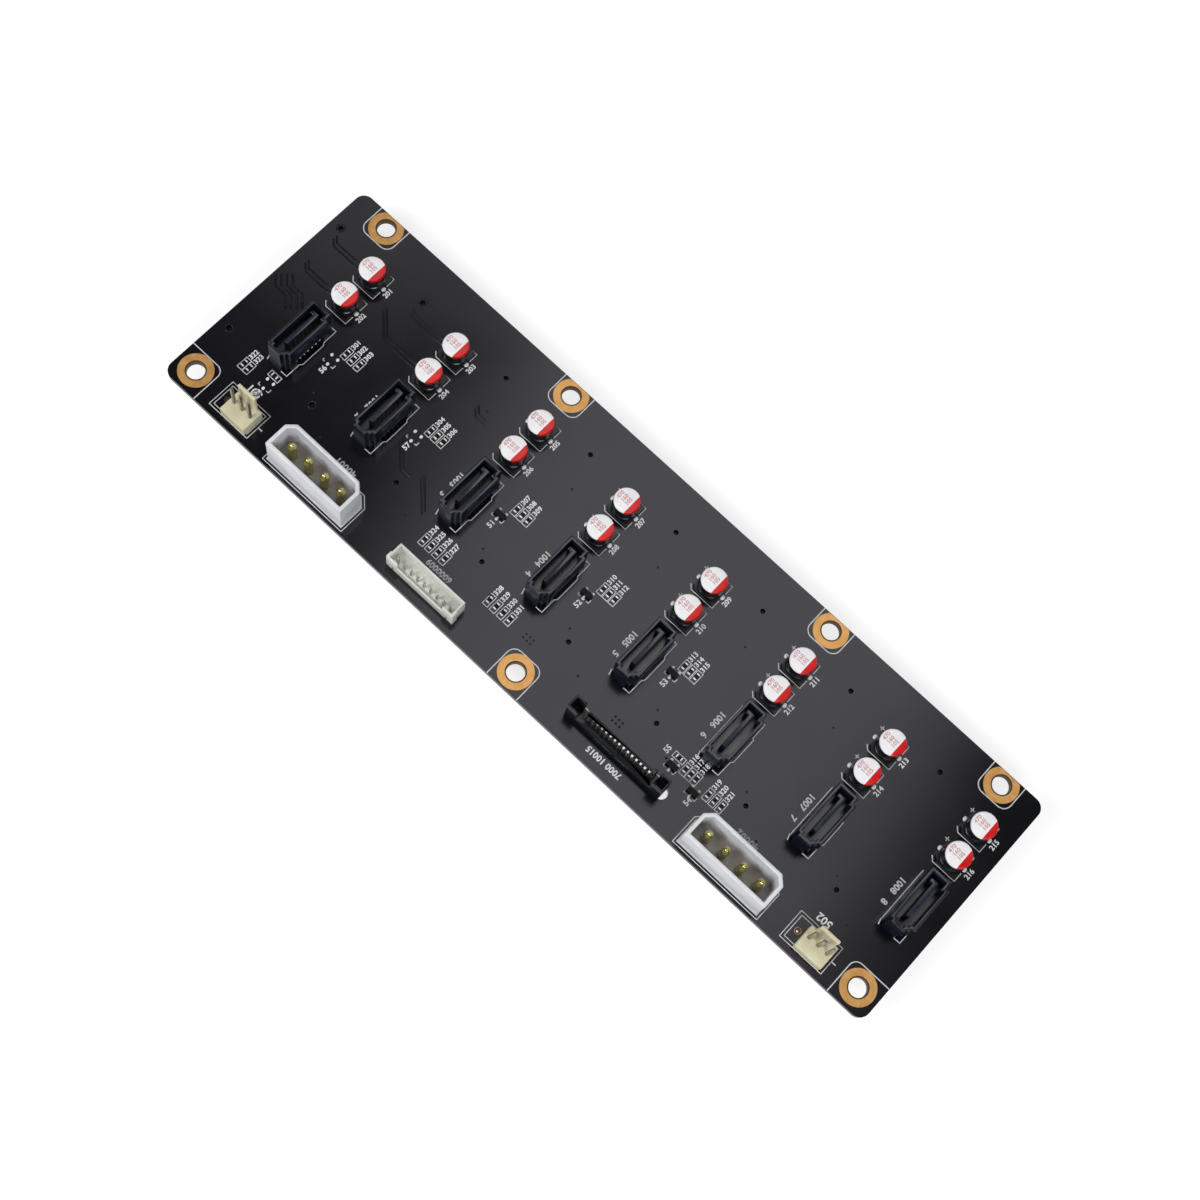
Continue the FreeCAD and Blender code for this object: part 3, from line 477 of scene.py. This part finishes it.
# ---- Data headers: blue-black glass-filled plastic, injection moulded in one piece with the tongue.
# The tool leaves a slightly rounded rim that catches the light, and it is spark-eroded, so the
# faces have a fine satin grain.
header_plastic = patterned("eroded blue-black glass-filled plastic", "#0e111b", "#181d2e", patch=4.0,
                           grain=0.16, depth=0.002, roughness=0.28, **{"Specular IOR Level": 0.9})


def softened(name, node, chosen, material, slot, rounding):
    """Copy a CAD node, round the edges chosen by the places of their ends, and stand for the node."""
    piece = bpy.data.objects.new(name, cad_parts[node].data.copy())
    bpy.context.collection.objects.link(piece)
    pick(piece)
    bpy.ops.mesh.customdata_custom_splitnormals_clear()
    bpy.ops.object.mode_set(mode="EDIT")
    bpy.ops.mesh.select_mode(type="EDGE")
    bpy.ops.mesh.select_all(action="SELECT")
    bpy.ops.mesh.remove_doubles(threshold=0.001 * MM)
    bpy.ops.mesh.dissolve_limited(angle_limit=math.radians(0.5))
    bpy.ops.mesh.select_all(action="DESELECT")
    bpy.ops.object.mode_set(mode="OBJECT")
    points = [point.co / MM for point in piece.data.vertices]
    for edge in piece.data.edges:
        edge.select = chosen(*[points[end] for end in edge.vertices])
    bpy.ops.object.mode_set(mode="EDIT")
    bpy.ops.mesh.bevel(offset=rounding * MM, segments=2, affect="EDGES")
    finish_faces(35)
    return keep(piece, name, material, slot, node)


def above(height):
    """Choose the edges that lie at or over a height in mm above the board."""
    limit = deck / MM + height - 0.01
    return lambda a, b: a.z > limit and b.z > limit


for number in range(1, 9):
    softened(f"data_header_moulding_{number}", f"data_header_{number}", above(8.0), header_plastic,
             "black_plastic", rounding=0.1)

# ---- Drive connectors: black glass-filled plastic with a matt, eroded skin, one for each drive, on
# the hidden side. Their mating faces end in one plane, and their pegs sit in the board's holes.
matt_plastic = patterned("matt black glass-filled plastic", "#060709", "#0d0e12", patch=4.0, grain=0.16,
                         depth=0.004, roughness=0.46, **{"Specular IOR Level": 0.2})
for number in range(1, 9):
    dress(f"drive_connector_{number}", matt_plastic)

# ---- Contacts: flat strips of copper alloy, stamped, bent and plated with gold over nickel.
# On the drive connectors they shine. Deep in the data headers their gold is painted dark, as painted shade in
# the slots.
contact_gold = patterned("hard gold on stamped strip", "#b98f42", "#d0a855", patch=0.9, grain=0.12,
                         depth=0.001, roughness=0.16, Metallic=1.0)
# Painted shade: the data headers' contacts take a darkened gold for the shade deep in their slots.
slot_shade_gold = patterned("gold strip painted with its slot's shade", "#1c1a1a", "#2e2a26", patch=0.9, grain=0.12,
                        depth=0.001, roughness=0.4, Metallic=0.6)
for number in range(1, 9):
    dress(f"data_header_contacts_{number}", slot_shade_gold)
    dress(f"drive_connector_contacts_{number}", contact_gold)

# ---- Power inlet: black glass-filled plastic with a moulded satin skin, and a stepped base.
# Its posts are open towards the tongue, and thin rims are all that shows of them from above. Its
# contacts are stamped strip with a bright coat of tin.
black_plastic = patterned("black glass-filled plastic", "#0b0c10", "#15171d", patch=4.0, grain=0.16,
                          depth=0.002, roughness=0.28)
tin = patterned("bright tinned copper", "#b9b8b4", "#d8d7d2", patch=0.8, grain=0.1, depth=0.003,
                roughness=0.3, Metallic=1.0)
softened("power_inlet_moulding", "power_inlet", above(3.3), black_plastic, "black_plastic", rounding=0.08)
dress("power_inlet_contacts", tin)

# ---- Power headers: natural nylon, moulded, with walls just under 1 mm that let light through.
# Inside, the walls are painted a darker grey as painted shade, and the thin floor is painted darker
# still, partly for the black laminate under it and partly as painted shade in the well. A flange
# runs round the foot of each, and four turned brass pins are pressed into its floor.
nylon = patterned("natural white nylon", "#d8dbe0", "#e9ebee", patch=6.0, grain=0.3, depth=0.006,
                  roughness=0.36, **{
                      "Subsurface Weight": 0.55, "Subsurface Radius": (1.0, 1.0, 1.0),
                      "Subsurface Scale": 1.6 * MM, "Specular IOR Level": 0.45})
inner_shade_nylon = patterned("nylon painted with the shade inside a header", "#cdd0db", "#dfe1ea", patch=6.0, grain=0.3,
                        depth=0.006, roughness=0.3)
floor_shade_nylon = patterned("thin nylon floor painted with shade over black laminate", "#938c88", "#ada6a1", patch=3.0, grain=0.3,
                        depth=0.006, roughness=0.34)
brass = patterned("turned and tinned brass", "#cbc168", "#f0e9a6", patch=1.1, grain=0.08, depth=0.002,
                  roughness=0.24, Metallic=1.0)
wall_reach = 0.6
foot_height = 1.0
rim_depth = 0.3
flange_cut = 2.0


def rim_and_corners(height, shortest=1.0):
    """Choose the edges at the top, and the upright ones longer than the shortest."""
    top = above(height)

    def chosen(a, b):
        upright = abs(a.x - b.x) < 0.01 and abs(a.y - b.y) < 0.01 and abs(a.z - b.z) > shortest
        return top(a, b) or upright
    return chosen


flanges = []
for number in (1, 2):
    node = f"power_header_{number}"
    shell = softened(f"power_header_moulding_{number}", node, rim_and_corners(9.9, shortest=5.0), nylon,
                     "white_nylon", rounding=0.22)
    low, high = [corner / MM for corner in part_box(node)]
    shell.data.materials.append(inner_shade_nylon)
    shell.data.materials.append(floor_shade_nylon)
    # Painted shade: faces inside the well take the darker nylons, the floor the darkest.
    for face in shell.data.polygons:
        x, y, z = face.center / MM
        inside = low.x + wall_reach < x < high.x - wall_reach and low.y + wall_reach < y < high.y - wall_reach
        if inside and low.z + foot_height < z < high.z - rim_depth:
            face.material_index = 2 if face.normal.z > 0.5 else 1
    flanges.append([(low.x, low.y), (high.x, low.y), (high.x, high.y - flange_cut),
                    (high.x - flange_cut, high.y), (low.x + flange_cut, high.y), (low.x, high.y - flange_cut),
                    (low.x, low.y)])
lay_lines("power_header_flanges", flanges, width=0.9, height=0.55, material=nylon, slot="white_nylon")


def level_edges(height):
    """Choose the edges that lie flat at or over a height."""
    top = above(height)
    return lambda a, b: top(a, b) and abs(a.z - b.z) < 0.01


for number in (1, 2):
    softened(f"power_header_pin_set_{number}", f"power_header_pins_{number}", level_edges(7.1), brass,
             "brass_pins", rounding=0.24)

# ---- Fan headers: yellowish, slightly waxy nylon 6.6 with an upright friction wall, moulded round
# three square wires with a dull coat of tin. The fourth hole beside each is plated and left bare.
cream_nylon = patterned("yellowed nylon 6.6", "#cfc7a4", "#e2dcc0", patch=5.0, grain=0.3, depth=0.006,
                        roughness=0.4, **{
                            "Subsurface Weight": 0.45, "Subsurface Radius": (1.0, 0.9, 0.6),
                            "Subsurface Scale": 1.2 * MM})
dull_tin = patterned("dull tinned brass wire", "#857c6c", "#b4aa96", patch=0.8, grain=0.1, depth=0.003,
                     roughness=0.42, Metallic=0.85)
half_wire = 0.32
fan_pitch = 2.54
# The first bare hole's land takes the painted-shade gold all over, so it shows as a dark dot; the second is
# plain gold.
for number, finish in ((1, hole_shade_gold), (2, gold)):
    softened(f"fan_header_moulding_{number}", f"fan_header_{number}", rim_and_corners(3.2), cream_nylon,
             "cream_nylon", rounding=0.14)
    softened(f"fan_header_pin_set_{number}", f"fan_header_pins_{number}", level_edges(10.9), dull_tin,
             "tinned_metal", rounding=0.16)
    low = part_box(f"fan_header_pins_{number}")[0] / MM
    plated_hole(f"bare_fan_hole_{number}", low.x + half_wire - fan_pitch, low.y + half_wire,
                inner=0.42, outer=0.8, face=finish)

# ---- Indicator header: ivory nylon, thin-walled, with its front wall cut low between two posts.
# Nine square pins with a bright coat of tin stand in it at 2.0 mm.
ivory_nylon = patterned("ivory nylon", "#d3d5cd", "#e6e8e2", patch=5.0, grain=0.3, depth=0.006,
                        roughness=0.38, **{
                            "Subsurface Weight": 0.5, "Subsurface Radius": (1.0, 1.0, 0.9),
                            "Subsurface Scale": 1.2 * MM})
softened("led_header_moulding", "led_header", rim_and_corners(3.0, shortest=4.0), ivory_nylon,
         "ivory_nylon", rounding=0.1)
softened("led_header_pin_set", "led_header_pins", level_edges(4.9), tin, "tinned_metal", rounding=0.12)

# ---- Capacitors: drawn aluminium cans, lacquered dark and crimped over a rubber plug above a black
# base. The top is lacquered an even white, with a glossier red segment on the positive side that
# runs down over the shoulder, and printed with values in faded red.
can_metal = patterned("dark lacquered aluminium can", "#2a2c30", "#3d4045", patch=2.2, grain=0.14,
                      depth=0.001, roughness=0.24, Metallic=0.7)
white_lacquer = patterned("white can lacquer", "#f2eff2", "#fbfafb", patch=2.0, grain=0.2, depth=0.003,
                          roughness=0.45)
red_lacquer = patterned("red can lacquer", "#c4080a", "#de1812", patch=2.0, grain=0.2, depth=0.002,
                        roughness=0.34)
value_ink = patterned("faded value print", "#c88f94", "#dcb0b3", patch=1.5, grain=0.3, depth=0.002,
                      roughness=0.6)
can_x = first_column - 0.15
can_y = can_rows[0]
can_grid = ((len(columns), pitch, 0.0), (2, 0.0, can_rows[1] - can_rows[0]))
red_from = can_x + 1.45
white_from = 5.4
value_size = 1.4
value_step = 1.25


def turned(profile, x, y, sides=48):
    """Raise one round body ring by ring from its (radius, height) pairs in mm, closed at both ends."""
    bpy.ops.object.select_all(action="DESELECT")
    radius, height = profile[0]
    bpy.ops.mesh.primitive_circle_add(vertices=sides, radius=radius * MM, fill_type="NGON",
                                      location=(x * MM, y * MM, deck + height * MM))
    piece = bpy.context.object
    bpy.ops.object.mode_set(mode="EDIT")
    bpy.ops.mesh.select_all(action="SELECT")
    for (inner, low), (outer, high) in zip(profile, profile[1:]):
        bpy.ops.mesh.extrude_region_move(TRANSFORM_OT_translate={"value": (0, 0, (high - low) * MM)})
        bpy.ops.transform.resize(value=(outer / inner, outer / inner, 1.0),
                                 center_override=(x * MM, y * MM, deck))
    bpy.ops.object.mode_set(mode="OBJECT")
    bpy.ops.object.transform_apply(location=True, rotation=True, scale=True)
    finish_faces(40)
    return piece


def spread(piece, *steps):
    """Repeat a finished piece along each step: how many, and how far in mm along X and Y."""
    pick(piece)
    for count, x, y in steps:
        row = piece.modifiers.new("row", "ARRAY")
        row.use_relative_offset = False
        row.use_constant_offset = True
        row.constant_offset_displace = (x * MM, y * MM, 0)
        row.count = count
        bpy.ops.object.modifier_apply(modifier=row.name)
    return piece


can_profile = [(2.8, 0.9), (3.1, 1.0), (3.15, 1.15), (3.15, 1.5), (3.02, 1.6), (2.88, 1.72), (2.88, 1.9),
               (3.02, 2.02), (3.15, 2.12), (3.15, 5.5), (3.1, 5.68), (2.98, 5.8)]
can = turned(can_profile, can_x, can_y)
spread(keep(can, "capacitor_can_shells", can_metal, "can_aluminium", "capacitor_cans"), *can_grid)

lacquer_profile = [(3.155, 4.85), (3.155, 5.4), (3.16, 5.52), (3.11, 5.72), (2.99, 5.85), (2.85, 5.89)]
lacquer = turned(lacquer_profile, can_x, can_y)
bpy.ops.object.mode_set(mode="EDIT")
bpy.ops.mesh.select_all(action="SELECT")
bpy.ops.mesh.bisect(plane_co=(red_from * MM, 0, 0), plane_no=(1, 0, 0))
bpy.ops.object.mode_set(mode="OBJECT")
keep(lacquer, "capacitor_top_lacquer", white_lacquer, "can_aluminium")
lacquer.data.materials.append(red_lacquer)
lacquer.data.materials.append(can_metal)
for face in lacquer.data.polygons:
    if face.center.x / MM > red_from:
        face.material_index = 1
    elif face.center.z < deck + white_from * MM and face.normal.z > -0.5:
        face.material_index = 2
spread(lacquer, *can_grid)

values = [(text, can_x - 2.05 + value_step * row, can_y, value_size, 90)
          for row, text in enumerate(("470", "160", "105"))]
print_level = deck + 5.895 * MM
spread(print_numbers("capacitor_values", values, value_ink, "can_aluminium", print_level), *can_grid)
dress("capacitor_bases", black_plastic)
dress("capacitor_leads", tin)

# ---- Solder: tin alloy, reflowed on the pads in low mounds and drawn up round the pin tails.
# It is the brightest metal on the board, with a slightly frosted skin.
solder = patterned("reflowed tin solder", "#e4e5e6", "#f6f6f6", patch=0.7, grain=0.12, depth=0.006,
                   roughness=0.36, Metallic=0.15)
mound = [(0.62, 0.0), (0.58, 0.08), (0.42, 0.17), (0.18, 0.21)]
flat_pad = [(0.62, 0.0), (0.6, 0.03), (0.4, 0.035)]
drawn_foot = [(0.62, 0.2), (0.5, 0.32), (0.2, 0.36)]
lead_reach = 3.6
header_y = -5.85
contact_pitch = 1.27


def solder_mound(x, y, wide, long, profile=mound):
    """Set one mound of solder, stretched to its pad's size in mm."""
    piece = turned(profile, x, y, sides=16)
    base = profile[0][0] * 2
    bpy.ops.object.mode_set(mode="EDIT")
    bpy.ops.mesh.select_all(action="SELECT")
    bpy.ops.transform.resize(value=(wide / base, long / base, 1.0), center_override=(x * MM, y * MM, deck))
    bpy.ops.object.mode_set(mode="OBJECT")
    return piece


for number, side in enumerate((-1, 1), 1):
    lead = solder_mound(can_x + side * lead_reach, can_y, wide=1.05, long=1.3)
    spread(keep(lead, f"capacitor_solder_{number}", solder, "tinned_metal"), *can_grid)
first_foot = header_y - 3 * contact_pitch
foot = solder_mound(first_column + 2.15, first_foot, wide=0.42, long=0.5, profile=drawn_foot)
spread(keep(foot, "data_header_solder", solder, "tinned_metal"),
       (len(columns), pitch, 0.0), (7, 0.0, contact_pitch))

# A transistor stands on three feet, its empty place shows three flat pads, and the inlet has one
# flat pad at each end.
feet = [(0.95, 1.18), (-0.95, 1.18), (0.0, -1.18)]
joints = []
for x, y in ((-28.1, -3.7), (-0.95, -3.7), (25.6, -3.6), (39.65, -19.5), (47.0, -20.7)):
    joints += [solder_mound(x + across, y + along, wide=0.8, long=0.75) for across, along in feet]
for x, y in empty_frames:
    joints += [solder_mound(x + across, y + along, wide=0.75, long=0.9, profile=flat_pad)
               for across, along in feet]
joints += [solder_mound(x, -23.35, wide=1.5, long=0.75, profile=flat_pad) for x in (17.2, 39.1)]
keep(joined(joints), "small_solder_joints", solder, "tinned_metal")
dress("transistor_leads", solder)
dress("chip_end_caps", solder)

# Round the pin tails under the board: the set of pins, how many, their pitch and the joint's radius.
below = (underside - deck) / MM
tail_steps = ((1.0, 0.02), (0.92, 0.15), (0.7, 0.45), (0.5, 1.2))
for name, node, count, step, radius in (
    ("power_solder_1", "power_header_pins_1", 4, 5.08, 1.5),
    ("power_solder_2", "power_header_pins_2", 4, 5.08, 1.5),
    ("fan_solder_1", "fan_header_pins_1", 3, fan_pitch, 0.95),
    ("fan_solder_2", "fan_header_pins_2", 3, fan_pitch, 0.95),
    ("led_solder", "led_header_pins", 9, 2.0, 0.8),
):
    low, high = [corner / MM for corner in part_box(node)]
    first_x = (low.x + high.x - (count - 1) * step) / 2
    tail = [(radius * share, below - drop) for share, drop in tail_steps]
    joint = turned(tail, first_x, (low.y + high.y) / 2, sides=24)
    spread(keep(joint, name, solder, "tinned_metal"), (count, step, 0.0))

# ---- Chip resistors and transistors: a glass-coated ceramic block and a moulded epoxy body, both
# placed by machine and soldered. They are matt black beside their bright ends.
epoxy = patterned("matt black epoxy", "#060607", "#0d0d0f", patch=1.0, grain=0.1, depth=0.003, roughness=0.5,
                  **{"Specular IOR Level": 0.25})
dress("chip_resistors", epoxy)
dress("transistor_bodies", epoxy)

# ---- Tented vias: drilled holes bridged by the mask, which sinks into each. Each shows as a low disc of mask painted darker, as painted shade in the dimple.
# They stand in two blocks of six behind the front edge, and singly beside the drives' columns.
# Painted shade: the darker mask stands for the shade where the mask dips into a via.
via_shade = patterned("mask painted with the shade of a via's dimple", "#040506", "#07080a", patch=3.0, grain=0.3, depth=0.003,
                 roughness=0.5)
via_step = 1.1
for number, (x, y) in enumerate(((-4.4, -21.05), (23.0, -21.05)), 1):
    via = turned([(0.3, 0.0), (0.27, 0.02)], x, y, sides=12)
    spread(keep(via, f"via_block_{number}", via_shade, "solder_mask"), (3, via_step, 0.0), (2, 0.0, via_step))
for number, (x, y) in enumerate(((-12.0, 12.6), (-16.6, -12.2), (-7.8, -19.0)), 1):
    via = turned([(0.32, 0.0), (0.28, 0.02)], columns[1] + x, y, sides=12)
    spread(keep(via, f"via_row_{number}", via_shade, "solder_mask"), (len(columns) - 1, pitch, 0.0))
